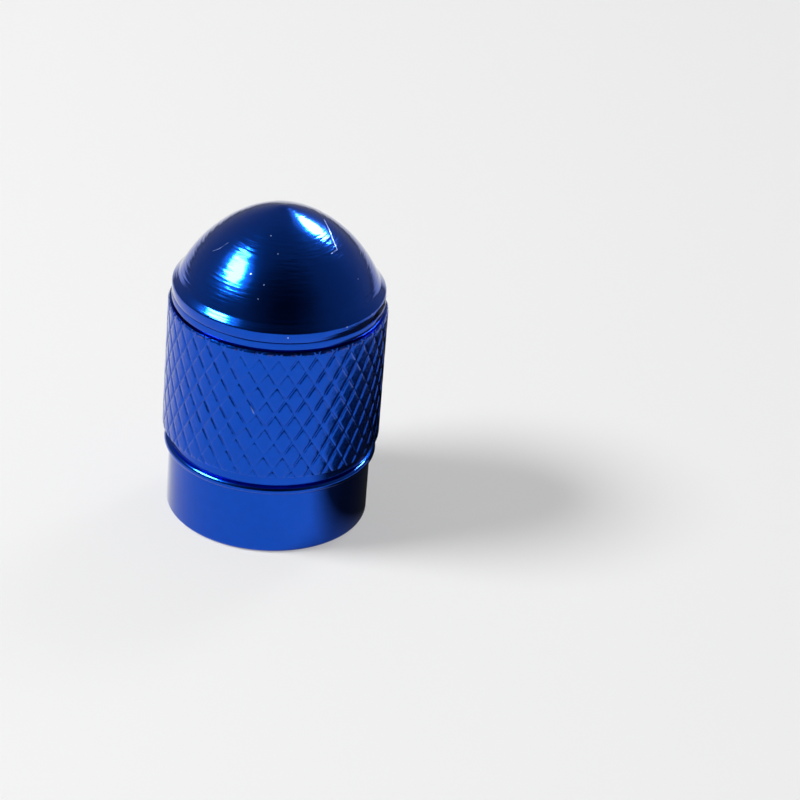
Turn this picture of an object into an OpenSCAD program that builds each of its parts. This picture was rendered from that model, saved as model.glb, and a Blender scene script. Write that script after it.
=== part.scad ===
// Tyre valve cap: a turned and knurled metal cap with a pointed nose, and the rubber
// washer that it holds at the end of its bore.
// The cap stands on its mouth. Z = 0 is the mouth's face and the Z axis is its own axis.

/* [Thread bore] */
// Diameter of the bore at the crests of the internal thread
thread_crest_d = 7; // [6.9:0.01:7.1]
// Step from the thread's crests out to the smooth counterbore inside the mouth
counterbore_step = 0.5; // [0.4:0.01:0.7]
// Depth of the counterbore
counterbore_depth = 1.25; // [0.6:0.05:2]
// Distance from the rim's top down to the end of the washer's seat
seat_drop = 0.75; // [0.4:0.05:2]
// Angle of the drill's point
drill_angle = 118; // [90:1:140]

/* [Mouth and skirt] */
// Thickness of the wall between the counterbore and the skirt
mouth_wall = 0.65; // [0.5:0.01:0.9]
// Height of the skirt from the mouth to the bead
skirt_h = 3.14; // [2:0.01:4]
// Radius of the mouth's outer edge
mouth_edge_r = 0.2; // [0.05:0.05:0.4]

/* [Bead and neck] */
// How far the bead's crest stands out from the skirt
bead_rise = 0.24; // [0.15:0.01:0.3]
// Height of the half-round bead along the axis
bead_w = 0.4; // [0.3:0.02:0.6]
// Height of the plain neck between the bead and the knurl
neck_w = 0.62; // [0.3:0.02:1]

/* [Knurl] */
// How far the tops of the diamonds stand out from the neck
knurl_rise = 0.35; // [0.3:0.01:0.6]
// Height of the knurled band, with both chamfers
knurl_w = 6.37; // [4:0.01:8]
// Number of grooves round the band, each way
knurl_starts = 36; // [28:4:48]
// Height of one diamond, from point to point
knurl_pitch = 1.418; // [1.1:0.002:1.8]
// Depth of the grooves between the diamonds
knurl_depth = 0.1; // [0.05:0.01:0.14]
// Width of the grooves round the band
knurl_groove_w = 0.18; // [0.1:0.01:0.3]
// How far a diamond's edges lie below its middle
knurl_crown = 0.012; // [0:0.002:0.03]
// Chamfer at the two ends of the band
knurl_chamfer = 0.1; // [0.05:0.01:0.2]
// Distance from the band's top down to a row of diamond middles
knurl_row_drop = 0.98; // [0:0.01:1.4]
// Turn of the diamonds about the axis, in degrees
knurl_turn = 2.1; // [0:0.1:10]

/* [Rim] */
// Step from the tops of the diamonds in to the smooth rim below the nose
rim_step = 0.15; // [0.05:0.01:0.25]
// Depth of the narrow groove between the knurl and the rim, below the rim
groove_depth = 0.17; // [0.1:0.01:0.3]
// Width of that groove
groove_w = 0.08; // [0.05:0.01:0.2]
// Height of the rim, below its sloping shoulder
rim_w = 0.84; // [0.7:0.01:1.4]
// Radius of the edge between the rim and its shoulder
rim_edge_r = 0.2; // [0.05:0.01:0.3]
// Height of the shoulder that slopes in from the rim to the nose
shoulder_h = 0.31; // [0.2:0.01:0.5]
// Height of the scribed line above the rim's lower edge
line_rise = 0.37; // [0.2:0.01:0.5]
// Depth of the scribed line
line_depth = 0.04; // [0.02:0.005:0.08]

/* [Nose] */
// Step from the rim in to the foot of the nose, across the shoulder
nose_step = 0.28; // [0.2:0.01:0.4]
// Height of the nose above the shoulder, before its tip is rounded
nose_h = 3.58; // [3:0.01:5]
// How pointed the nose is: the distance of its arc's centre beyond the axis
nose_point = 1.2; // [0.6:0.05:2]
// Radius of the rounded tip
tip_r = 0.9; // [0.4:0.05:1.5]

/* [Washer] */
// How far the rubber washer reaches out behind the thread's crests
washer_reach = 0.35; // [0.2:0.01:0.5]
// Thickness of the washer
washer_t = 1.2; // [0.8:0.05:1.5]
// Diameter of the washer's hole
washer_hole_d = 3.2; // [2:0.1:4.5]
// Clearance round the washer, in its seat and along the axis
washer_gap = 0.1; // [0.05:0.01:0.2]

/* [Hidden] */
$fn = 180;

// Margin by which one shape reaches into another, or a cut past a face
over = 0.5;

// Diameters, stepped outwards from the thread
counterbore_d = thread_crest_d + 2 * counterbore_step;
skirt_d = counterbore_d + 2 * mouth_wall;
bead_d = skirt_d + 2 * bead_rise;
knurl_d = skirt_d + 2 * knurl_rise;
rim_d = knurl_d - 2 * rim_step;
groove_d = rim_d - 2 * groove_depth;
nose_d = rim_d - 2 * nose_step;
washer_d = thread_crest_d + 2 * washer_reach;

// Heights of the features, stacked up from the mouth
bead_z = skirt_h + bead_w / 2;
knurl_z = skirt_h + bead_w + neck_w;
knurl_top = knurl_z + knurl_w;
rim_z = knurl_top + groove_w;
rim_top = rim_z + rim_w;
nose_z = rim_top + shoulder_h;

// The nose is an arc about nose_c, which lies beyond the axis, so that the tip is pointed
nose_drop = (pow(nose_d / 2, 2) + nose_d * nose_point - pow(nose_h, 2)) / (2 * nose_h);
nose_c = [-nose_point, nose_z - nose_drop];
nose_r = norm([nose_d / 2 + nose_point, nose_drop]);

// The tip's ball touches that arc from inside
tip_z = nose_c.y + sqrt(pow(nose_r - tip_r, 2) - pow(nose_point, 2));

// The rim's edge turns from upright through slope degrees to the shoulder, about edge_c
slope = atan2(nose_step, shoulder_h);
edge_c = [rim_d / 2 - rim_edge_r, rim_top - rim_edge_r * tan(slope / 2)];
edge_facets = 12;

// The washer's seat is a recess behind the thread
seat_d = washer_d + 2 * washer_gap;
seat_end = rim_top - seat_drop;
thread_end = seat_end - washer_t - washer_gap;
drill_tip = thread_crest_d / 2 / tan(drill_angle / 2);

// The diamonds lie on rows half a diamond apart, from below the band to above it
row_step = knurl_pitch / 2;
rows_down = ceil((knurl_w - knurl_row_drop) / row_step) + 1;
rows_up = ceil(knurl_row_drop / row_step) + 1;
row_count = rows_down + rows_up;
first_row_z = knurl_top - knurl_row_drop - rows_down * row_step;
// Half a groove's width, as a share of a diamond's width
half_groove = knurl_groove_w * knurl_starts / (2 * PI * knurl_d);
// A row has a middle, an edge, a groove and an edge for each diamond
per_row = 4 * knurl_starts;

// A point of the knurl, with u counted in diamonds round the band
function knurl_point(u, r, z) =
    let (angle = u * 360 / knurl_starts + knurl_turn - 90)
    [r * cos(angle), r * sin(angle), z];

// Every second row is shifted by half a diamond, but not the one that knurl_turn places
function is_shifted(k) = (k + rows_down) % 2;
function row_shift(k) = is_shifted(k) / 2;

// The four points of diamond i in row k: its middle, an edge, the groove, an edge
function row_points(k, i) =
    let (
        u = i + row_shift(k),
        z = first_row_z + k * row_step,
        top = knurl_d / 2,
        edge = top - knurl_crown
    )
    [
        knurl_point(u, top, z),
        knurl_point(u + 0.5 - half_groove, edge, z),
        knurl_point(u + 0.5, top - knurl_depth, z),
        knurl_point(u + 0.5 + half_groove, edge, z)
    ];

// The upper tip of that diamond, and the lower tip of the next one above the groove
function tip_points(k, i) =
    let (
        u = i + row_shift(k),
        z = first_row_z + k * row_step,
        rise = 2 * half_groove * row_step,
        edge = knurl_d / 2 - knurl_crown
    )
    [
        knurl_point(u, edge, z + row_step - rise),
        knurl_point(u + 0.5, edge, z + rise)
    ];

// Numbers of those points in the list
function row_at(k, i, j) = k * per_row + (4 * (i + knurl_starts) + j) % per_row;
function tip_at(k, i, j) =
    (row_count + 1) * per_row + k * 2 * knurl_starts
    + (2 * (i + knurl_starts) + j) % (2 * knurl_starts);

// Two triangles for the four corners of a groove's wall
function wall(a, b, c, d) = [[a, b, c], [a, c, d]];

// The faces between rows k and k + 1 that belong to diamond i
function diamond_faces(k, i) =
    let (
        s = is_shifted(k),
        middle = row_at(k, i, 0),
        next_middle = row_at(k, i + 1, 0),
        left_edge = row_at(k, i, 1),
        groove = row_at(k, i, 2),
        right_edge = row_at(k, i, 3),
        tip = tip_at(k, i, 0),
        next_tip = tip_at(k, i + 1, 0),
        upper_tip = tip_at(k, i, 1),
        upper_middle = row_at(k + 1, i + s, 0),
        upper_left = row_at(k + 1, i - 1 + s, 2),
        upper_left_edge = row_at(k + 1, i - 1 + s, 3),
        upper_right = row_at(k + 1, i + s, 2),
        upper_right_edge = row_at(k + 1, i + s, 1)
    )
    concat(
        [[tip, left_edge, middle]],
        wall(tip, upper_left, groove, left_edge),
        wall(upper_left, upper_left_edge, upper_tip, groove),
        [[upper_left_edge, upper_middle, upper_tip]],
        [[right_edge, next_tip, next_middle]],
        wall(groove, upper_right, next_tip, right_edge),
        wall(upper_tip, upper_right_edge, upper_right, groove),
        [[upper_middle, upper_right_edge, upper_tip]]
    );

// A drum with the whole pattern of diamonds, taller than the band
module knurled_drum() {
    points = concat(
        [for (k = [0:row_count], i = [0:knurl_starts - 1]) each row_points(k, i)],
        [for (k = [0:row_count - 1], i = [0:knurl_starts - 1]) each tip_points(k, i)],
        [[0, 0, first_row_z], [0, 0, first_row_z + row_count * row_step]]
    );
    bottom = len(points) - 2;
    top = len(points) - 1;
    faces = concat(
        [
            for (k = [0:row_count - 1], i = [0:knurl_starts - 1])
                each diamond_faces(k, i)
        ],
        [
            for (j = [0:per_row - 1])
                each [
                    [bottom, row_at(0, 0, j), row_at(0, 0, j + 1)],
                    [top, row_at(row_count, 0, j + 1), row_at(row_count, 0, j)]
                ]
        ]
    );
    polyhedron(points = points, faces = faces, convexity = 6);
}

// The drum cut to the band's height, with its two chamfers
module knurled_band() {
    blank_r = knurl_d / 2 + over;
    chamfer = knurl_chamfer + over;
    intersection() {
        knurled_drum();
        rotate_extrude()
            polygon([
                [0, knurl_z],
                [blank_r - chamfer, knurl_z],
                [blank_r, knurl_z + chamfer],
                [blank_r, knurl_top - chamfer],
                [blank_r - chamfer, knurl_top],
                [0, knurl_top]
            ]);
    }
}

// Half-section of the skirt, with its rounded edge at the mouth
module skirt_section() {
    translate([0, mouth_edge_r])
        square([skirt_d / 2, skirt_h + bead_w / 2 - mouth_edge_r]);
    square([skirt_d / 2 - mouth_edge_r, skirt_h]);
    translate([skirt_d / 2 - mouth_edge_r, mouth_edge_r])
        circle(mouth_edge_r);
}

// Half-section of the bead and the neck above it, which is as wide as the skirt
module neck_section() {
    translate([0, skirt_h])
        square([bead_d / 2 - bead_w / 2, bead_w]);
    translate([bead_d / 2 - bead_w / 2, bead_z])
        circle(bead_w / 2);
    translate([0, bead_z])
        square([skirt_d / 2, knurl_z + over - bead_z]);
}

// Half-section of the rim and its shoulder, with the groove below and the scribed line
module rim_section() {
    translate([0, knurl_top - over])
        square([groove_d / 2, groove_w + 2 * over]);
    difference() {
        polygon([
            [0, rim_z],
            [rim_d / 2, rim_z],
            for (i = [0:edge_facets])
                let (turn = slope * i / edge_facets)
                edge_c + rim_edge_r * [cos(turn), sin(turn)],
            [nose_d / 2, nose_z],
            [0, nose_z]
        ]);
        translate([rim_d / 2, rim_z + line_rise])
            rotate(45)
                square(line_depth * sqrt(2), center = true);
    }
}

// Half-section of the nose: a pointed arc with a rounded tip
module nose_section() {
    cut_z = tip_z + tip_r * (tip_z - nose_c.y) / (nose_r - tip_r);
    intersection() {
        translate(nose_c)
            circle(nose_r);
        translate([0, nose_z - over])
            square([rim_d / 2, cut_z - nose_z + over]);
    }
    intersection() {
        translate([0, tip_z])
            circle(tip_r);
        translate([0, cut_z - over])
            square([tip_r, tip_r + over]);
    }
}

// The bore: counterbore, thread, the washer's seat and the drill's point
module bore() {
    translate([0, 0, -over])
        cylinder(d = counterbore_d, h = counterbore_depth + over);
    translate([0, 0, -over])
        cylinder(d = thread_crest_d, h = seat_end + over);
    translate([0, 0, thread_end])
        cylinder(d = seat_d, h = seat_end - thread_end);
    translate([0, 0, seat_end])
        cylinder(d1 = thread_crest_d, d2 = 0, h = drill_tip);
}

// The cap itself, turned from one bar
module cap_body() {
    color("royalblue")
        difference() {
            union() {
                rotate_extrude() {
                    skirt_section();
                    neck_section();
                    rim_section();
                    nose_section();
                }
                knurled_band();
            }
            bore();
        }
}

// The rubber washer that seals on the end of the valve stem
module seal_washer() {
    color("dimgray")
        translate([0, 0, seat_end - washer_t])
            difference() {
                cylinder(d = washer_d, h = washer_t);
                translate([0, 0, -over])
                    cylinder(d = washer_hole_d, h = washer_t + 2 * over);
            }
}

cap_body();
seal_washer();
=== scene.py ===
# %% [markdown]
# # A tyre valve cap in blue anodised aluminium
#
# The real cap is about 15 mm high. It is turned from a bar of aluminium on a lathe, knurled with
# a diamond pattern for the fingers, threaded inside, and then anodised and dyed blue. A rubber
# washer lies at the end of its bore.
#
# The lesson builds it the way the lathe does: a tool path is drawn as a chain of lines and arcs,
# and spun about the axis. Only the knurl and the thread need more than that.

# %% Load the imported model
import math

import bmesh
import bpy
from mathutils import Matrix, Vector, noise


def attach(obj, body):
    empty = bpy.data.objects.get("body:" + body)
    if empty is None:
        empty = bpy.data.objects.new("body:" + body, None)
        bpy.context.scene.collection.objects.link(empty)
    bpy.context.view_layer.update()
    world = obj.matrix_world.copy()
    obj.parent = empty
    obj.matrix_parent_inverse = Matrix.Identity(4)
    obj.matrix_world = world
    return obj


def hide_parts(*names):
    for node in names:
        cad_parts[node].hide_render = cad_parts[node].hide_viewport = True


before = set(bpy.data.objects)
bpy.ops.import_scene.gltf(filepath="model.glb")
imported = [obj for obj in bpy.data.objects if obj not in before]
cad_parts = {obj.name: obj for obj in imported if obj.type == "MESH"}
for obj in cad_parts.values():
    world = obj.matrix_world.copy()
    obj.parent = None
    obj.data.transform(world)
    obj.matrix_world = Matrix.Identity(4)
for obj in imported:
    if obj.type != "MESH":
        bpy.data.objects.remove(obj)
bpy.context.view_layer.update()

# %% [markdown]
# ## Sizes
#
# The sizes are the cap's own, in millimetres, and repeat those of the solid model. A radius is
# measured from the axis, a height from the mouth that the cap stands on. The pieces are modelled
# in millimetres too, because a bevel or a cut has trouble with walls of a few micrometres, and
# each is scaled to metres when it is finished.

# %% Sizes of the turned body
MM = 0.001

thread_crest_r = 3.5
thread_root_r = 3.87
thread_pitch = 0.794
counterbore_r = 4.0
counterbore_depth = 1.25
mouth_chamfer = 0.08
mouth_round = 0.2

skirt_r = 4.65
skirt_top = 3.14
bead_r = 4.89
bead_round = 0.2
bead_side = math.radians(84)
bead_start = (0.02, 0.004)
neck_bottom = skirt_top + 2 * bead_round
corner_round = 0.04

knurl_bottom = 4.16
knurl_top = 10.53
knurl_r = 4.996
knurl_depth = 0.043
knurl_groove = 0.19
top_chamfer = 0.1
bottom_chamfer = 0.04
chamfer_share = 0.66
knurl_starts = 36
knurl_pitch = 1.418
knurl_row_drop = 0.98
knurl_turn = math.radians(2.1)

groove_r = 4.68
rim_bottom = 10.61
rim_top = 11.45
rim_r = 4.85
rim_round = 0.2
line_rise = 0.37
line_depth = 0.015
line_half = 0.03

shoulder_height = 0.31
nose_foot_r = 4.57
foot_band = 0.03
nose_height = 3.5799
nose_point = 1.2
tip_round = 0.9

# %% Sizes inside the bore
washer_r = 3.85
washer_hole_r = 1.6
washer_t = 1.2
washer_gap = 0.1
seat_r = washer_r + washer_gap
seat_top = rim_top - 0.75
thread_end = seat_top - washer_t - washer_gap
drill_half_angle = math.radians(59)
drill_tip = seat_top + thread_crest_r / math.tan(drill_half_angle)
washer_steps = 96
washer_bevel = 0.04
print("thread from", counterbore_depth, "to", round(thread_end, 2), "mm")

# %% [markdown]
# ## Camera
#
# The cap is seen from 31 degrees above the table, by a long lens from 16 cm away. The camera is
# turned a little past the cap, so that the cap stands left of the middle, and it is rolled by
# 4.7 degrees, which makes the cap lean.

# %% Camera
camera_place = Vector((0, -140.37, 84.58)) * MM
camera_yaw = 0.0416927
camera_pitch = 0.511138
camera_roll = 0.0826489
lens_pixels = 3503.5
picture_pixels = 800
sensor_mm = 36.0

level = Vector((math.sin(camera_yaw), math.cos(camera_yaw), 0))
ahead = level * math.cos(camera_pitch) + Vector((0, 0, -math.sin(camera_pitch)))
right = Vector((math.cos(camera_yaw), -math.sin(camera_yaw), 0))
up = right.cross(ahead)
rolled_right = right * math.cos(camera_roll) + up * math.sin(camera_roll)
rolled_up = up * math.cos(camera_roll) - right * math.sin(camera_roll)

camera = bpy.data.objects.new("camera", bpy.data.cameras.new("camera"))
camera.data.sensor_width = sensor_mm
camera.data.lens = lens_pixels / picture_pixels * sensor_mm
camera.data.clip_start = 0.01
camera.data.clip_end = 10
camera_axes = Matrix((rolled_right, rolled_up, -ahead)).transposed()
camera.matrix_world = Matrix.Translation(camera_place) @ camera_axes.to_4x4()
bpy.context.collection.objects.link(camera)
bpy.context.scene.camera = camera
print("lens", round(camera.data.lens, 1), "mm")

# %% [markdown]
# ## The lathe's tool path
#
# A lathe's tool cuts straight lines and arcs. Two helpers do the same in a bmesh: one extrudes
# the last vertex to a new point, the other spins it about an arc's centre, which leaves a chain
# of edges behind it. The path could also be typed as a list of points, but then nobody could
# see which stretches are round, or change a radius.

# %% Helpers for the tool path
lathe_steps = 216
sharp_angle = math.radians(35)


def start_tool(bm, radius, height):
    """Sets the tool down at a radius and a height."""
    return bm.verts.new((radius, 0, height))


def cut_line(bm, tool, radius, height):
    """Carries the tool in a straight line to a radius and a height."""
    made = bmesh.ops.extrude_vert_indiv(bm, verts=[tool])
    made["verts"][0].co = (radius, 0, height)
    return made["verts"][0]


def cut_arc(bm, tool, centre, angle, steps):
    """Carries the tool round a centre, anticlockwise with the axis on the left."""
    made = bmesh.ops.spin(
        bm,
        geom=[tool],
        cent=(centre[0], 0, centre[1]),
        axis=(0, -1, 0),
        angle=angle,
        steps=steps,
    )
    return next(part for part in made["geom_last"] if isinstance(part, bmesh.types.BMVert))


def turn_on_lathe(bm, steps):
    """Spins all that the bmesh holds into a full turn about the cap's axis."""
    bmesh.ops.spin(
        bm,
        geom=bm.verts[:] + bm.edges[:],
        cent=(0, 0, 0),
        axis=(0, 0, 1),
        angle=math.tau,
        steps=steps,
        use_merge=True,
    )
    bmesh.ops.remove_doubles(bm, verts=bm.verts, dist=0.0005)


def pour_into(body, part):
    """Moves the contents of one bmesh into another."""
    between = bpy.data.meshes.new("between")
    part.to_mesh(between)
    part.free()
    body.from_mesh(between)
    bpy.data.meshes.remove(between)


def join_rings(bm, height):
    """Bridges the two open rings that lie at one height."""
    open_edges = [
        edge
        for edge in bm.edges
        if edge.is_boundary and all(abs(v.co.z - height) < 0.002 for v in edge.verts)
    ]
    made = bmesh.ops.bridge_loops(bm, edges=open_edges)
    print("height", round(height, 2), "bridged with", len(made["faces"]), "faces")


def finish_piece(bm, name):
    """Makes an object of the bmesh, in metres, smooth, with its faces pointing outwards."""
    bmesh.ops.recalc_face_normals(bm, faces=bm.faces)
    bmesh.ops.scale(bm, vec=(MM, MM, MM), verts=bm.verts)
    open_edges = sum(not edge.is_manifold for edge in bm.edges)
    mesh = bpy.data.meshes.new(name)
    bm.to_mesh(mesh)
    bm.free()
    mesh.shade_smooth()
    mesh.set_sharp_from_angle(angle=sharp_angle)
    piece = bpy.data.objects.new(name, mesh)
    bpy.context.collection.objects.link(piece)
    weighted = piece.modifiers.new("even normals", "WEIGHTED_NORMAL")
    weighted.keep_sharp = True
    print(name, len(mesh.polygons), "faces,", open_edges, "open edges")
    return piece


# %% [markdown]
# ## Nose, shoulder and rim
#
# The nose is one arc whose centre lies beyond the axis, so that its two sides would meet in a
# point; a small ball rounds that point. Its foot stands on a sloping shoulder, which a rounded
# edge leads over into the rim. The places where these arcs touch follow from their radii, as
# they do for the turner.

# %% Where the arcs of the nose and the rim's edge touch
def angle_of(point, centre):
    """Direction of a point as seen from a centre."""
    return math.atan2(point.y - centre.y, point.x - centre.x)


nose_z = rim_top + shoulder_height
nose_drop = (nose_foot_r**2 + 2 * nose_foot_r * nose_point - nose_height**2) / (2 * nose_height)
nose_foot = Vector((nose_foot_r, nose_z))
nose_centre = Vector((-nose_point, nose_z - nose_drop))
nose_r = (nose_foot - nose_centre).length
tip_centre = Vector((0, nose_centre.y + math.sqrt((nose_r - tip_round) ** 2 - nose_point**2)))
tip_start = nose_centre + (tip_centre - nose_centre).normalized() * nose_r
shoulder_slope = math.atan2(rim_r - nose_foot_r, shoulder_height)
edge_centre = Vector((rim_r - rim_round, rim_top - rim_round * math.tan(shoulder_slope / 2)))
print("nose radius", round(nose_r, 2), "mm, tip at", round(tip_centre.y + tip_round, 3), "mm")

# %% Cut the upper path, from the knurl's top to the tip
body = bmesh.new()
tool = start_tool(body, groove_r, knurl_top)
tool = cut_line(body, tool, groove_r, rim_bottom)
tool = cut_line(body, tool, rim_r - corner_round, rim_bottom)
tool = cut_arc(body, tool, (rim_r - corner_round, rim_bottom + corner_round), math.pi / 2, steps=3)
line_height = rim_bottom + line_rise
tool = cut_line(body, tool, rim_r, line_height - line_half)
tool = cut_line(body, tool, rim_r - line_depth, line_height)
tool = cut_line(body, tool, rim_r, line_height + line_half)
tool = cut_line(body, tool, rim_r, edge_centre.y)
tool = cut_arc(body, tool, edge_centre, shoulder_slope, steps=6)

# One more point just before the foot keeps the shading of the flat shoulder off the nose.
before_foot = Vector((math.sin(shoulder_slope), -math.cos(shoulder_slope))) * foot_band
tool = cut_line(body, tool, nose_foot.x + before_foot.x, nose_foot.y + before_foot.y)
tool = cut_line(body, tool, nose_foot.x, nose_foot.y)
nose_turn = angle_of(tip_start, nose_centre) - angle_of(nose_foot, nose_centre)
tool = cut_arc(body, tool, nose_centre, nose_turn, steps=56)
tip_turn = math.pi / 2 - angle_of(tip_start, tip_centre)
tool = cut_arc(body, tool, tip_centre, tip_turn, steps=8)
tool.co.x = 0
print("upper path:", len(body.verts), "points")

# %% [markdown]
# ## Skirt, bead and mouth
#
# Below the knurl the turner leaves a plain neck, a small half-round bead and the skirt. The
# bead is where the brightest line of light lies, so its corners are rounded, as a tool leaves
# them. The mouth's outer edge has a larger round, and its inner edge a fine chamfer.

# %% Cut the lower path, from the neck down to the counterbore
tool = start_tool(body, skirt_r, knurl_bottom)
tool = cut_line(body, tool, skirt_r, neck_bottom + corner_round)
bead_centre_r = bead_r - bead_round
tool = cut_line(body, tool, bead_centre_r + bead_start[0], neck_bottom - bead_start[1])
bead_centre = (bead_centre_r, skirt_top + bead_round)
tool = cut_arc(body, tool, bead_centre, -2 * bead_side, steps=16)
tool = cut_line(body, tool, skirt_r, skirt_top - corner_round)
tool = cut_line(body, tool, skirt_r, mouth_round)
tool = cut_arc(body, tool, (skirt_r - mouth_round, mouth_round), -math.pi / 2, steps=8)
tool = cut_line(body, tool, counterbore_r + mouth_chamfer, 0)
tool = cut_line(body, tool, counterbore_r, mouth_chamfer)
tool = cut_line(body, tool, counterbore_r, counterbore_depth)
print("both paths:", len(body.verts), "points")

# %% Cut the bottom of the bore, from the washer's seat to the drill's point
tool = start_tool(body, seat_r, thread_end)
tool = cut_line(body, tool, seat_r, seat_top)
tool = cut_line(body, tool, thread_crest_r, seat_top)
tool = cut_line(body, tool, 0, drill_tip)
turn_on_lathe(body, lathe_steps)
print("turned surfaces:", len(body.faces), "faces")

# %% [markdown]
# ## The thread
#
# The valve stem's thread has 32 turns to the inch, a pitch of 0.794 mm. One turn's outline, a
# crest, a flank, a root and a flank, is spun and raised by one pitch a turn, which is what the
# tap does. Where one turn ends the next begins, so merging the doubles closes it. The two ends
# are then cut flat with bisect_plane. A screw modifier would do the same, but leaves its ends
# helical.

# %% Cut the thread
crest_flat = thread_pitch / 4
root_flat = thread_pitch / 8
flank = (thread_pitch - crest_flat - root_flat) / 2
thread_turns = math.ceil((thread_end - counterbore_depth) / thread_pitch) + 2
thread_steps = 72

thread = bmesh.new()
height = counterbore_depth - 1.5 * thread_pitch
tool = start_tool(thread, thread_crest_r, height)
tool = cut_line(thread, tool, thread_crest_r, height + crest_flat)
tool = cut_line(thread, tool, thread_root_r, height + crest_flat + flank)
tool = cut_line(thread, tool, thread_root_r, height + crest_flat + flank + root_flat)
tool = cut_line(thread, tool, thread_crest_r, height + thread_pitch)
bmesh.ops.spin(
    thread,
    geom=thread.verts[:] + thread.edges[:],
    cent=(0, 0, 0),
    axis=(0, 0, 1),
    dvec=(0, 0, thread_pitch / thread_steps),
    angle=math.tau * thread_turns,
    steps=thread_steps * thread_turns,
)
bmesh.ops.remove_doubles(thread, verts=thread.verts, dist=0.001)
print("thread rises to", round(max(v.co.z for v in thread.verts), 2), "mm")
for cut_height, keep_above in ((counterbore_depth, True), (thread_end, False)):
    bmesh.ops.bisect_plane(
        thread,
        geom=thread.verts[:] + thread.edges[:] + thread.faces[:],
        dist=0.0001,
        plane_co=(0, 0, cut_height),
        plane_no=(0, 0, 1),
        clear_inner=keep_above,
        clear_outer=not keep_above,
    )
pour_into(body, thread)
join_rings(body, counterbore_depth)
join_rings(body, thread_end)

# %% [markdown]
# ## The diamond knurl
#
# Two knurling wheels press 36 fine grooves to the left and 36 to the right into the cap, and
# the metal between them stands as diamonds. A knurl could be a bump map, but then the outline
# would stay smooth and the grooves would catch no light of their own.
#
# The lattice comes from a plain tube: each of its faces is poked, which puts a point in the
# middle, and the tube's own edges are then dissolved, which leaves diamonds. Three insets of
# each diamond, raised a little more each time, give the grooves a rounded floor and rounded
# shoulders. The wheels don't press evenly, so the depth wanders along the band.

# %% Lay out the lattice of diamonds
groove_floor_r = knurl_r - knurl_depth
rows = math.ceil((knurl_top - knurl_bottom) / knurl_pitch) + 2
lattice_top = knurl_top - knurl_row_drop + 1.5 * knurl_pitch
knurl = bmesh.new()
ring = bmesh.ops.create_circle(knurl, segments=knurl_starts, radius=groove_floor_r)["verts"]
bmesh.ops.rotate(knurl, verts=ring, cent=(0, 0, 0), matrix=Matrix.Rotation(knurl_turn, 3, "Z"))
bmesh.ops.translate(knurl, verts=ring, vec=(0, 0, lattice_top - rows * knurl_pitch))
ring_edges = knurl.edges[:]
for _ in range(rows):
    made = bmesh.ops.extrude_edge_only(knurl, edges=ring_edges)["geom"]
    ring = [part for part in made if isinstance(part, bmesh.types.BMVert)]
    ring_edges = [
        part
        for part in made
        if isinstance(part, bmesh.types.BMEdge) and all(v in ring for v in part.verts)
    ]
    bmesh.ops.translate(knurl, verts=ring, vec=(0, 0, knurl_pitch))
tube_edges = [edge for edge in knurl.edges if len(edge.link_faces) == 2]
bmesh.ops.poke(knurl, faces=knurl.faces)
bmesh.ops.dissolve_edges(knurl, edges=tube_edges, use_verts=False)
bmesh.ops.recalc_face_normals(knurl, faces=knurl.faces)
print("lattice:", len(knurl.faces), "diamonds and halves")


# %% Helpers that move points of the knurl in and out
def radius_of(vert):
    """Distance of a vertex from the cap's axis."""
    return math.hypot(vert.co.x, vert.co.y)


def set_radius(vert, radius):
    """Moves a vertex straight in or out to a distance from the axis."""
    share = radius / radius_of(vert)
    vert.co.x *= share
    vert.co.y *= share


for vert in knurl.verts:
    set_radius(vert, groove_floor_r)
outward = sum(face.normal.dot(face.calc_center_median() * Vector((1, 1, 0))) for face in knurl.faces)
if outward < 0:
    bmesh.ops.reverse_faces(knurl, faces=knurl.faces)
print("faces point outwards:", outward > 0)

# %% Inset the diamonds, and note how far each ring stands above the groove's floor
rise = knurl.verts.layers.float.new("rise")
diamonds = knurl.faces[:]
along_grooves = set(knurl.edges)
groove_rings = ((0.3, 0.15), (0.35, 0.75), (0.35, 1.0))
for width_share, height_share in groove_rings:
    bmesh.ops.inset_individual(
        knurl, faces=diamonds, thickness=knurl_groove / 2 * width_share, use_even_offset=True
    )
    for face in diamonds:
        along_grooves.update(face.edges)
        for vert in face.verts:
            vert[rise] = height_share
bmesh.ops.subdivide_edges(knurl, edges=list(along_grooves), cuts=3, use_grid_fill=True)
print("knurl:", len(knurl.faces), "faces")


# %% Put the tops on the cylinder and press the grooves in, unevenly
broad_per_mm = 0.35
fine_per_mm = 1.7
broad_share = 0.4
fine_share = 0.3
least_pressure = 0.6
most_pressure = 1.4


def pressure(place):
    """How deep the knurling wheels pressed at a place, about 1."""
    broad = noise.noise(place * broad_per_mm)
    fine = noise.noise(place * fine_per_mm)
    wanted = 1.0 + broad_share * broad + fine_share * fine
    return min(max(wanted, least_pressure), most_pressure)


for vert in knurl.verts:
    depth = knurl_depth * pressure(vert.co) * (1 - vert[rise])
    set_radius(vert, knurl_r - depth)
print("lowest point:", round(min(radius_of(v) for v in knurl.verts), 3), "mm from the axis")

# %% Cut the band to its height and chamfer its ends
cuts = (
    (knurl_bottom, True, False),
    (knurl_bottom + bottom_chamfer, False, False),
    (knurl_top - top_chamfer, False, False),
    (knurl_top, False, True),
)
for cut_height, clear_below, clear_above in cuts:
    bmesh.ops.bisect_plane(
        knurl,
        geom=knurl.verts[:] + knurl.edges[:] + knurl.faces[:],
        dist=0.0001,
        plane_co=(0, 0, cut_height),
        plane_no=(0, 0, 1),
        clear_inner=clear_below,
        clear_outer=clear_above,
    )
for vert in knurl.verts:
    below_chamfer = bottom_chamfer - (vert.co.z - knurl_bottom)
    above_chamfer = top_chamfer - (knurl_top - vert.co.z)
    chamfered_r = knurl_r - max(below_chamfer, above_chamfer, 0) * chamfer_share
    if radius_of(vert) > chamfered_r:
        set_radius(vert, chamfered_r)
pour_into(body, knurl)
join_rings(body, knurl_bottom)
join_rings(body, knurl_top)

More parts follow.
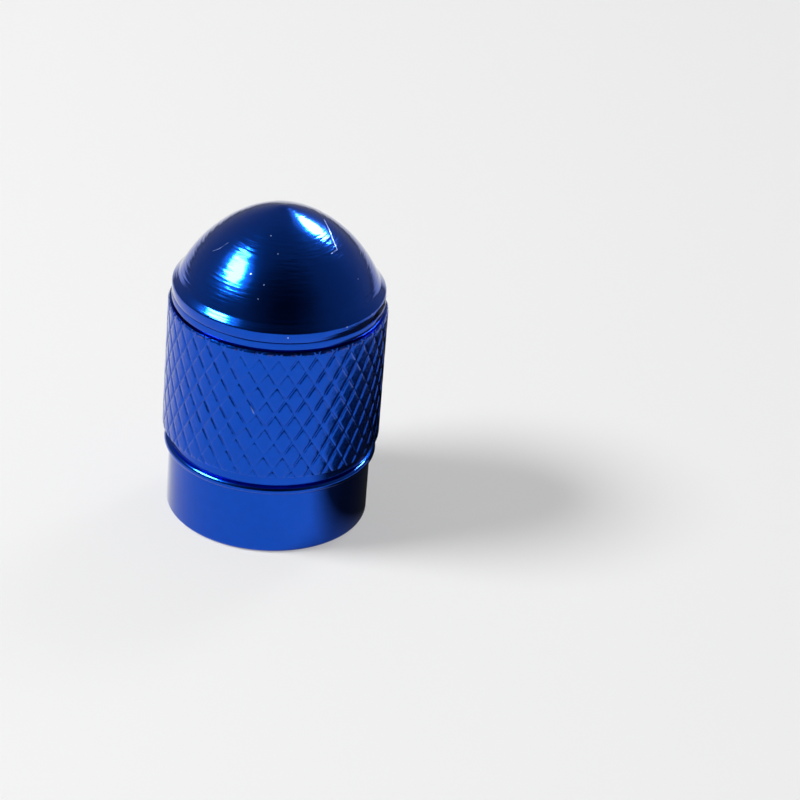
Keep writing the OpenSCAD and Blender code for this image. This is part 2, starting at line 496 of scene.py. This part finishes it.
cap = finish_piece(body, "cap")
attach(cap, "root")
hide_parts("cap_body")

# %% [markdown]
# ## The rubber washer
#
# The washer is punched from sheet rubber, so its edges are nearly square; a tiny bevel is all
# that they have. It lies behind the thread, up against the end of the bore.

# %% Make the washer
washer = bmesh.new()
tool = start_tool(washer, washer_hole_r, seat_top - washer_t)
tool = cut_line(washer, tool, washer_r, seat_top - washer_t)
tool = cut_line(washer, tool, washer_r, seat_top)
tool = cut_line(washer, tool, washer_hole_r, seat_top)
cut_line(washer, tool, washer_hole_r, seat_top - washer_t)
turn_on_lathe(washer, washer_steps)
corner_edges = [
    edge
    for edge in washer.edges
    if abs(edge.verts[0].co.z - edge.verts[1].co.z) < 0.001 and edge.calc_face_angle(0) > 1
]
bmesh.ops.bevel(
    washer,
    geom=corner_edges,
    offset=washer_bevel,
    segments=2,
    profile=0.5,
    affect="EDGES",
    material=-1,
)
seal = finish_piece(washer, "rubber_washer")
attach(seal, "root")
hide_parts("seal_washer")

# %% [markdown]
# ## Materials
#
# A few helpers keep the node trees short: one turns a written colour into the linear values
# that the renderer works in, another adds a node with its settings and links.

# %% Helpers for materials
def linear(code):
    """Turns a colour written as sRGB hex, such as "#3366CC", into linear red, green, blue, alpha."""
    values = [int(code[i : i + 2], 16) / 255 for i in (1, 3, 5)]
    return [v / 12.92 if v <= 0.04045 else ((v + 0.055) / 1.055) ** 2.4 for v in values] + [1]


def add(tree, kind, links=None, values=None, **settings):
    """Adds a node, sets its properties and its inputs' values, and links its inputs."""
    node = tree.nodes.new(kind)
    for name, value in settings.items():
        setattr(node, name, value)
    for name, value in (values or {}).items():
        node.inputs[name].default_value = value
    for name, output in (links or {}).items():
        tree.links.new(output, node.inputs[name])
    return node


def new_material(name):
    """An empty material, and its node tree."""
    material = bpy.data.materials.new(name)
    material.use_nodes = True
    material.node_tree.nodes.clear()
    return material, material.node_tree


# %% [markdown]
# ## Blue anodised aluminium
#
# Anodising grows a clear layer of oxide on the metal, and a blue dye is drawn into its pores. So
# the eye sees bright metal through blue glass: nearly every reflection is blue, and only the
# strongest light also shows white, on top of the layer. A metallic surface with a blue colour
# gives the first, and a clear coat of low strength the second.
#
# The tool leaves fine rings on the nose and the skirt. They are drawn as a bump over the radius
# and the height, so they run round the axis, and broken up, as on a cap that was tumbled
# afterwards. The real ones are finer than the picture shows, so they are drawn at 6 to the
# millimetre, and fainter below the nose. The knurl has a soft unevenness in their place.

# %% Coordinates on the cap, in millimetres
aluminium, tree = new_material("blue anodised aluminium")
place = add(tree, "ShaderNodeTexCoord")
in_mm = add(
    tree, "ShaderNodeMapping", {"Vector": place.outputs["Object"]}, {"Scale": (1000, 1000, 1000)}
).outputs["Vector"]
parts = add(tree, "ShaderNodeSeparateXYZ", {"Vector": in_mm})
flat = add(tree, "ShaderNodeCombineXYZ", {"X": parts.outputs["X"], "Y": parts.outputs["Y"]})
radius = add(
    tree, "ShaderNodeVectorMath", {0: flat.outputs["Vector"]}, operation="LENGTH"
).outputs["Value"]
height_mm = parts.outputs["Z"]
print(aluminium.name, "starts with", len(tree.nodes), "nodes")

# %% Turning marks and the knurl's unevenness
rings_per_mm = 6.0
ring_depth = 0.022
ring_drift = (0.14, 0.08, 0.0)
drift = add(tree, "ShaderNodeVectorMath", {0: in_mm}, {1: ring_drift}, operation="DOT_PRODUCT")
rings = add(
    tree, "ShaderNodeCombineXYZ", {"X": radius, "Y": height_mm, "Z": drift.outputs["Value"]}
)
marks = add(
    tree,
    "ShaderNodeTexNoise",
    {"Vector": rings.outputs["Vector"]},
    {"Scale": rings_per_mm, "Detail": 2.0, "Roughness": 0.6},
)
worn = add(tree, "ShaderNodeTexNoise", {"Vector": in_mm}, {"Scale": 0.7, "Detail": 1.0})
kept = add(
    tree,
    "ShaderNodeMapRange",
    {"Value": worn.outputs["Fac"]},
    {"From Min": 0.4, "From Max": 0.65, "To Min": 0.25, "To Max": 1.0},
)
on_knurl = add(
    tree,
    "ShaderNodeMath",
    {0: height_mm},
    {1: (knurl_bottom + knurl_top) / 2, 2: (knurl_top - knurl_bottom) / 2},
    operation="COMPARE",
)
uneven = add(tree, "ShaderNodeTexNoise", {"Vector": in_mm}, {"Scale": 2.2, "Detail": 3.0})
on_nose = add(
    tree,
    "ShaderNodeMapRange",
    {"Value": height_mm},
    {"From Min": rim_bottom, "From Max": nose_foot.y, "To Min": 0.2, "To Max": 1.0},
)
strength = add(
    tree,
    "ShaderNodeMath",
    {0: kept.outputs["Result"], 1: on_nose.outputs["Result"]},
    operation="MULTIPLY",
)
turned = add(
    tree,
    "ShaderNodeMath",
    {0: marks.outputs["Fac"], 1: strength.outputs["Value"]},
    operation="MULTIPLY",
)
relief = add(
    tree,
    "ShaderNodeMix",
    {"Factor": on_knurl.outputs["Value"], "A": turned.outputs["Value"], "B": uneven.outputs["Fac"]},
)

# %% [markdown]
# ## Scratches, specks and the worn edge
#
# Where the dyed layer is scratched or rubbed, paler metal shows. The marks could be painted in a
# picture, but then they would have a resolution. So each is drawn as the distance to a line or
# to a point on the cap, in millimetres, and stays sharp however near the camera comes.
#
# A scratch has half its width, its strength and the places that it passes. The places stand
# close together, because a long straight line would run below the round nose.

# %% Where the scratches and specks lie
scratches = (
    (
        0.032,
        0.7,
        (
            (1.809, 0.151, 14.693),
            (1.935, -0.17, 14.622),
            (2.053, -0.454, 14.528),
            (2.154, -0.724, 14.421),
            (2.246, -0.99, 14.298),
            (2.365, -1.2, 14.153),
            (2.457, -1.392, 14.017),
        ),
    ),
    (0.03, 0.55, ((2.457, -1.392, 14.017), (2.206, -1.791, 14.003))),
    (0.02, 1.0, ((-3.04, -1.37, 13.54), (-2.78, -1.49, 13.72), (-2.39, -1.45, 14.03))),
    (0.022, 1.0, ((-0.97, -4.90, 7.8), (-0.77, -4.93, 7.38))),
)
lines = [
    (first, last, half_width, depth)
    for half_width, depth, places in scratches
    for first, last in zip(places, places[1:])
]
specks = (
    (-0.51, -1.76, 14.67),
    (-0.15, -2.56, 14.21),
    (-1.28, -3.17, 13.45),
    (-0.68, -3.6, 13.17),
    (-0.9, -3.96, 12.64),
    (0.52, -4.82, 11.26),
    (3.1, -3.72, 11.4),
    (4.19, -2.39, 11.42),
    (3.47, -1.83, 12.84),
)
speck_r = 0.05
print(len(scratches), "scratches and", len(specks), "specks")

# %% Draw the scratches and specks
bare = None
for first, last, half_width, depth in lines:
    along = Vector(last) - Vector(first)
    from_first = add(tree, "ShaderNodeVectorMath", {0: in_mm}, {1: first}, operation="SUBTRACT")
    share = add(
        tree,
        "ShaderNodeVectorMath",
        {0: from_first.outputs["Vector"]},
        {1: along / along.length_squared},
        operation="DOT_PRODUCT",
    )
    share = add(tree, "ShaderNodeClamp", {"Value": share.outputs["Value"]})
    foot = add(
        tree, "ShaderNodeVectorMath", {"Scale": share.outputs["Result"]}, {0: along}, operation="SCALE"
    )
    away = add(
        tree,
        "ShaderNodeVectorMath",
        {0: from_first.outputs["Vector"], 1: foot.outputs["Vector"]},
        operation="DISTANCE",
    )
    mark = add(
        tree,
        "ShaderNodeMapRange",
        {"Value": away.outputs["Value"]},
        {"From Min": 0.0, "From Max": half_width, "To Min": depth, "To Max": 0.0},
    ).outputs["Result"]
    if bare:
        mark = add(tree, "ShaderNodeMath", {0: bare, 1: mark}, operation="MAXIMUM").outputs["Value"]
    bare = mark
for spot in specks:
    away = add(tree, "ShaderNodeVectorMath", {0: in_mm}, {1: spot}, operation="DISTANCE")
    mark = add(
        tree,
        "ShaderNodeMapRange",
        {"Value": away.outputs["Value"]},
        {"From Min": 0.0, "From Max": speck_r, "To Min": 1.0, "To Max": 0.0},
    )
    bare = add(
        tree, "ShaderNodeMath", {0: bare, 1: mark.outputs["Result"]}, operation="MAXIMUM"
    ).outputs["Value"]
print("with the marks:", len(tree.nodes), "nodes")

# %% Worn edge at the knurl's top
worn_half_width = 0.035
edge_wear = add(tree, "ShaderNodeTexNoise", {"Vector": in_mm}, {"Scale": 2.6, "Detail": 4.0})
edge_wear = add(
    tree,
    "ShaderNodeMapRange",
    {"Value": edge_wear.outputs["Fac"]},
    {"From Min": 0.52, "From Max": 0.75, "To Min": 0.0, "To Max": 0.5},
)
at_edge = add(
    tree,
    "ShaderNodeMath",
    {0: height_mm},
    {1: knurl_top - top_chamfer, 2: worn_half_width},
    operation="COMPARE",
)
edge_wear = add(
    tree,
    "ShaderNodeMath",
    {0: edge_wear.outputs["Result"], 1: at_edge.outputs["Value"]},
    operation="MULTIPLY",
)

# %% The metal itself
turned_roughness = 0.14
knurl_roughness = 0.25
worn_roughness = 0.45
coat_roughness = 0.08
coat_ior = 1.22

dyed = add(
    tree,
    "ShaderNodeMix",
    {"Factor": uneven.outputs["Fac"]},
    {"A": linear("#0048BC"), "B": linear("#0050CA")},
    data_type="RGBA",
)
scuffed = add(
    tree,
    "ShaderNodeMix",
    {"Factor": bare, "A": dyed.outputs["Result"]},
    {"B": linear("#B4C4EA")},
    data_type="RGBA",
)
colour = add(
    tree,
    "ShaderNodeMix",
    {"Factor": edge_wear.outputs["Value"], "A": scuffed.outputs["Result"]},
    {"B": linear("#9A86A8")},
    data_type="RGBA",
)
worn_away = add(
    tree, "ShaderNodeMath", {0: bare, 1: edge_wear.outputs["Value"]}, operation="MAXIMUM"
)
polish = add(
    tree,
    "ShaderNodeMapRange",
    {"Value": on_knurl.outputs["Value"]},
    {"To Min": turned_roughness, "To Max": knurl_roughness},
)
gloss = add(
    tree,
    "ShaderNodeMapRange",
    {"Value": worn_away.outputs["Value"], "To Min": polish.outputs["Result"]},
    {"To Max": worn_roughness},
)
bump = add(
    tree,
    "ShaderNodeBump",
    {"Height": relief.outputs["Result"]},
    {"Strength": 1.0, "Distance": ring_depth * MM},
)
surface = add(
    tree,
    "ShaderNodeBsdfPrincipled",
    {
        "Base Color": colour.outputs["Result"],
        "Roughness": gloss.outputs["Result"],
        "Normal": bump.outputs["Normal"],
        "Coat Normal": bump.outputs["Normal"],
    },
    {
        "Metallic": 1.0,
        "Specular Tint": linear("#E0E0E0"),
        "Coat Weight": 1.0,
        "Coat Roughness": coat_roughness,
        "Coat IOR": coat_ior,
    },
)
add(tree, "ShaderNodeOutputMaterial", {"Surface": surface.outputs["BSDF"]})
cap.data.materials.append(aluminium)
print("aluminium:", len(tree.nodes), "nodes")

# %% [markdown]
# ## Black rubber
#
# The washer is soft black rubber with some chalk on it, so it is matt, with a fine grain. The
# grain is drawn at 12 to the millimetre.

# %% Black rubber
grain_per_mm = 12
grain_depth = 0.01

rubber, tree = new_material("black rubber")
place = add(tree, "ShaderNodeTexCoord")
grain = add(
    tree,
    "ShaderNodeTexNoise",
    {"Vector": place.outputs["Object"]},
    {"Scale": grain_per_mm / MM, "Detail": 4.0},
)
bump = add(
    tree,
    "ShaderNodeBump",
    {"Height": grain.outputs["Fac"]},
    {"Strength": 0.6, "Distance": grain_depth * MM},
)
shade = add(
    tree,
    "ShaderNodeMix",
    {"Factor": grain.outputs["Fac"]},
    {"A": linear("#141414"), "B": linear("#242424")},
    data_type="RGBA",
)
surface = add(
    tree,
    "ShaderNodeBsdfPrincipled",
    {"Base Color": shade.outputs["Result"], "Normal": bump.outputs["Normal"]},
    {"Roughness": 0.65},
)
add(tree, "ShaderNodeOutputMaterial", {"Surface": surface.outputs["BSDF"]})
seal.data.materials.append(rubber)
print("rubber:", len(tree.nodes), "nodes")

# %% [markdown]
# ## Floor
#
# The cap stands on a sheet of pale paper. Real paper would turn grey wherever the lamps are
# weaker, so part of its light is an even glow that only the camera and mirrors see; the rest is
# matt paper, which keeps the shadows. Metal sees less of the glow, because the side of the cap
# that faces away from the lamp mirrors its own shadow. Past the lit middle the paper is dim to
# the metal, as it is in a dark studio.

# %% Floor
floor_r = 1.5
floor_bmesh = bmesh.new()
bmesh.ops.create_circle(floor_bmesh, cap_ends=True, segments=64, radius=floor_r)
floor_mesh = bpy.data.meshes.new("floor")
floor_bmesh.to_mesh(floor_mesh)
floor_bmesh.free()
floor = bpy.data.objects.new("floor", floor_mesh)
bpy.context.collection.objects.link(floor)
print("floor:", floor_r, "m in radius")

# %% Pale paper
lit_r = 0.12
dim_r = lit_r * 1.5
dim_share = 0.25
camera_glow_share = 0.45
mirror_glow_share = 0.3

paper, tree = new_material("pale paper")
rays = add(tree, "ShaderNodeLightPath")
place = add(tree, "ShaderNodeTexCoord")
from_cap = add(tree, "ShaderNodeVectorMath", {0: place.outputs["Object"]}, operation="LENGTH")
lit = add(
    tree,
    "ShaderNodeMapRange",
    {"Value": from_cap.outputs["Value"]},
    {"From Min": lit_r, "From Max": dim_r, "To Min": 1.0, "To Max": dim_share},
)
mirrors = add(
    tree,
    "ShaderNodeMath",
    {0: rays.outputs["Is Glossy Ray"], 1: rays.outputs["Is Transmission Ray"]},
    operation="MAXIMUM",
)
# For mirrors the paper's colour is painted darker past the lit middle: a painted falloff of the lamps'
# light.
dim = add(
    tree,
    "ShaderNodeMix",
    {"Factor": mirrors.outputs["Value"], "B": lit.outputs["Result"]},
    {"A": 1.0},
)
camera_glow = add(
    tree,
    "ShaderNodeMath",
    {0: rays.outputs["Is Camera Ray"]},
    {1: camera_glow_share},
    operation="MULTIPLY",
)
glow_share = add(
    tree,
    "ShaderNodeMath",
    {0: mirrors.outputs["Value"], 2: camera_glow.outputs["Value"]},
    {1: mirror_glow_share},
    operation="MULTIPLY_ADD",
)
paper_white = linear("#F2F2F2")
paper_colour = add(
    tree,
    "ShaderNodeMix",
    {"Factor": dim.outputs["Result"]},
    {"A": linear("#000000"), "B": paper_white},
    data_type="RGBA",
)
matt = add(tree, "ShaderNodeBsdfDiffuse", {"Color": paper_colour.outputs["Result"]})
glow = add(tree, "ShaderNodeEmission", {"Color": paper_colour.outputs["Result"]}, {"Strength": 1.0})
mixed = add(
    tree,
    "ShaderNodeMixShader",
    {0: glow_share.outputs["Value"], 1: matt.outputs["BSDF"], 2: glow.outputs["Emission"]},
)
add(tree, "ShaderNodeOutputMaterial", {"Surface": mixed.outputs["Shader"]})
floor.data.materials.append(paper)
print("paper:", len(tree.nodes), "nodes")

# %% [markdown]
# ## Black cards
#
# A photographer lays a black card beside polished metal, so that one side turns dark and looks round.
# The large card here is painted shade, a dark sheet that the camera doesn't see and that casts no
# shadow. Its edge is soft, so that no line shows where it ends. A second, small card stands behind
# it and keeps the back softbox off the bead, painted shade over that highlight. Only the metal sees them.

# %% Helper that hangs a black card
# A card is whole up to the first distance from the large card's middle, and gone at the second.
# The small card lies nearer than both, so it isn't faded.
card_place = (14.0, 2.0, 0.05)
card_r = 12.5
card_fades = (card_r - 3.0, card_r)
flag_fades = (100.0, 101.0)
card_cover = 0.95


def hang_card(bm, name, fades):
    """Makes a black card of the bmesh, painted shade only mirrors see, faded between two distances."""
    mesh = bpy.data.meshes.new(name)
    bm.to_mesh(mesh)
    bm.free()
    card = bpy.data.objects.new(name, mesh)
    card.visible_camera = False
    card.visible_diffuse = False
    card.visible_shadow = False
    bpy.context.collection.objects.link(card)
    black, tree = new_material(name)
    place = add(tree, "ShaderNodeTexCoord")
    away = add(
        tree,
        "ShaderNodeVectorMath",
        {0: place.outputs["Object"]},
        {1: Vector(card_place) * MM},
        operation="DISTANCE",
    )
    solid = add(
        tree,
        "ShaderNodeMapRange",
        {"Value": away.outputs["Value"]},
        {"From Min": fades[0] * MM, "From Max": fades[1] * MM, "To Min": card_cover, "To Max": 0.0},
    )
    # The card's black is painted shade, which only the metal mirrors.
    matt = add(tree, "ShaderNodeBsdfDiffuse", values={"Color": linear("#181818")})
    clear = add(tree, "ShaderNodeBsdfTransparent")
    mixed = add(
        tree,
        "ShaderNodeMixShader",
        {0: solid.outputs["Result"], 1: clear.outputs["BSDF"], 2: matt.outputs["BSDF"]},
    )
    add(tree, "ShaderNodeOutputMaterial", {"Surface": mixed.outputs["Shader"]})
    card.data.materials.append(black)


# %% Black cards
flag_size = (5.5, 8.3)
flag_place = (8.0, 4.1)
flag_turn = math.radians(-36)

card_bmesh = bmesh.new()
bmesh.ops.create_circle(card_bmesh, cap_ends=True, segments=48, radius=card_r * MM)
bmesh.ops.translate(card_bmesh, verts=card_bmesh.verts, vec=Vector(card_place) * MM)
flag_bmesh = bmesh.new()
bmesh.ops.create_grid(flag_bmesh, x_segments=1, y_segments=1, size=0.5 * MM)
bmesh.ops.scale(flag_bmesh, vec=(*flag_size, 1), verts=flag_bmesh.verts)
bmesh.ops.rotate(flag_bmesh, verts=flag_bmesh.verts, matrix=Matrix.Rotation(math.pi / 2, 3, "X"))
bmesh.ops.translate(flag_bmesh, verts=flag_bmesh.verts, vec=(0, 0, flag_size[1] / 2 * MM))
bmesh.ops.rotate(flag_bmesh, verts=flag_bmesh.verts, matrix=Matrix.Rotation(flag_turn, 3, "Z"))
bmesh.ops.translate(flag_bmesh, verts=flag_bmesh.verts, vec=Vector((*flag_place, 0)) * MM)
hang_card(card_bmesh, "black_card", card_fades)
hang_card(flag_bmesh, "small_black_card", flag_fades)
print("cards:", 2 * card_r, "mm across, and", flag_size, "mm")

# %% [markdown]
# ## Light
#
# Two softboxes light the scene: a strong one at the left, and a weaker one behind at the right.
# Each is three lamps. One lights matt surfaces, at a level at which white paper looks white.
# The other two are what polished metal mirrors: the bright cloth itself, which is as bright as
# the real thing, because only then does the clear layer show its white core, and round it the
# dim light that spills past the box. Light that the metal throws back on the paper is left out,
# because it would only show as blue grain.

# %% Helper that sets up a softbox
lamp_distance = 0.4
lamp_gap = 0.01
spill_radiance = 0.45
spill_size = 2.1
aim_height = 10


def add_softbox(name, azimuth, elevation, width, height, level, glare):
    """A softbox that faces the cap. Azimuth 0 is the camera's side, 90 the right.

    The level is the light on paper that faces the lamp, where 1 shows it as white. The glare is
    the brightness that mirrors see.
    """
    a, e = math.radians(azimuth), math.radians(elevation)
    towards = Vector((math.sin(a) * math.cos(e), -math.cos(a) * math.cos(e), math.sin(e)))
    area = math.pi / 4 * width * height
    matt_radiance = level * math.pi * lamp_distance**2 / area
    uses = (
        ("matt", matt_radiance, lamp_distance, 1.0),
        ("mirror", glare, lamp_distance - lamp_gap, 1.0),
        ("spill", spill_radiance, lamp_distance + lamp_gap, spill_size),
    )
    for use, radiance, distance, share in uses:
        lamp = bpy.data.objects.new(f"{name} {use}", bpy.data.lights.new(f"{name} {use}", "AREA"))
        lamp.data.shape = "ELLIPSE"
        lamp.data.size = width * share
        lamp.data.size_y = height * share
        lamp.data.energy = radiance * math.pi * area * share**2
        lamp.location = towards * distance + Vector((0, 0, aim_height * MM))
        lamp.rotation_euler = towards.to_track_quat("Z", "Y").to_euler()
        if use != "matt":
            lamp.data.use_nodes = True
            tree = lamp.data.node_tree
            tree.nodes.clear()
            path = add(tree, "ShaderNodeLightPath")
            off_paper = add(
                tree, "ShaderNodeMath", {0: path.outputs["Diffuse Depth"]}, {1: 0.5}, operation="LESS_THAN"
            )
            shine = add(tree, "ShaderNodeEmission", {"Strength": off_paper.outputs["Value"]})
            add(tree, "ShaderNodeOutputLight", {"Surface": shine.outputs["Emission"]})
        lamp.visible_glossy = use != "matt"
        lamp.visible_diffuse = use == "matt"
        bpy.context.collection.objects.link(lamp)
    print(name, "radiance", round(matt_radiance, 1), "for matt surfaces,", glare, "for mirrors")


# %% Softboxes
add_softbox("left softbox", -81, 44, 0.17, 0.12, 1.15, 75)
add_softbox("back softbox", 143, 43, 0.105, 0.13, 0.12, 75)

# %% [markdown]
# ## Room
#
# The room is dark where the camera stands, which is what makes the front of the nose dark, and
# brighter towards its back. So the light of the world is drawn over the angle from a direction
# just above the camera.

# %% Room
room = bpy.data.worlds.new("dim studio")
bpy.context.scene.world = room
room.use_nodes = True
tree = room.node_tree
tree.nodes.clear()
place = add(tree, "ShaderNodeTexCoord")
dark_side = Vector((0.1, -0.82, 0.57))
room_light = ((0.0, 0.015), (0.07, 0.06), (0.16, 0.13), (0.5, 0.22), (1.0, 0.3))
angle = add(
    tree,
    "ShaderNodeVectorMath",
    {0: place.outputs["Generated"]},
    {1: dark_side},
    operation="DOT_PRODUCT",
)
turned_away = add(
    tree,
    "ShaderNodeMapRange",
    {"Value": angle.outputs["Value"]},
    {"From Min": 1.0, "From Max": -1.0},
)
ramp = add(tree, "ShaderNodeValToRGB", {"Fac": turned_away.outputs["Result"]})
stops = ramp.color_ramp.elements
for share, brightness in room_light[1:-1]:
    stops.new(share)
for stop, (_, brightness) in zip(stops, room_light):
    stop.color = (brightness, brightness, brightness, 1)
print("room light:", [round(stop.position, 2) for stop in stops])
sky = add(tree, "ShaderNodeBackground", {"Color": ramp.outputs["Color"]}, {"Strength": 1.0})
add(tree, "ShaderNodeOutputWorld", {"Surface": sky.outputs["Background"]})

# %% [markdown]
# ## Finish
#
# The picture shows colours as they are, without a film look.

# %% Output
bpy.context.scene.view_settings.view_transform = "Standard"
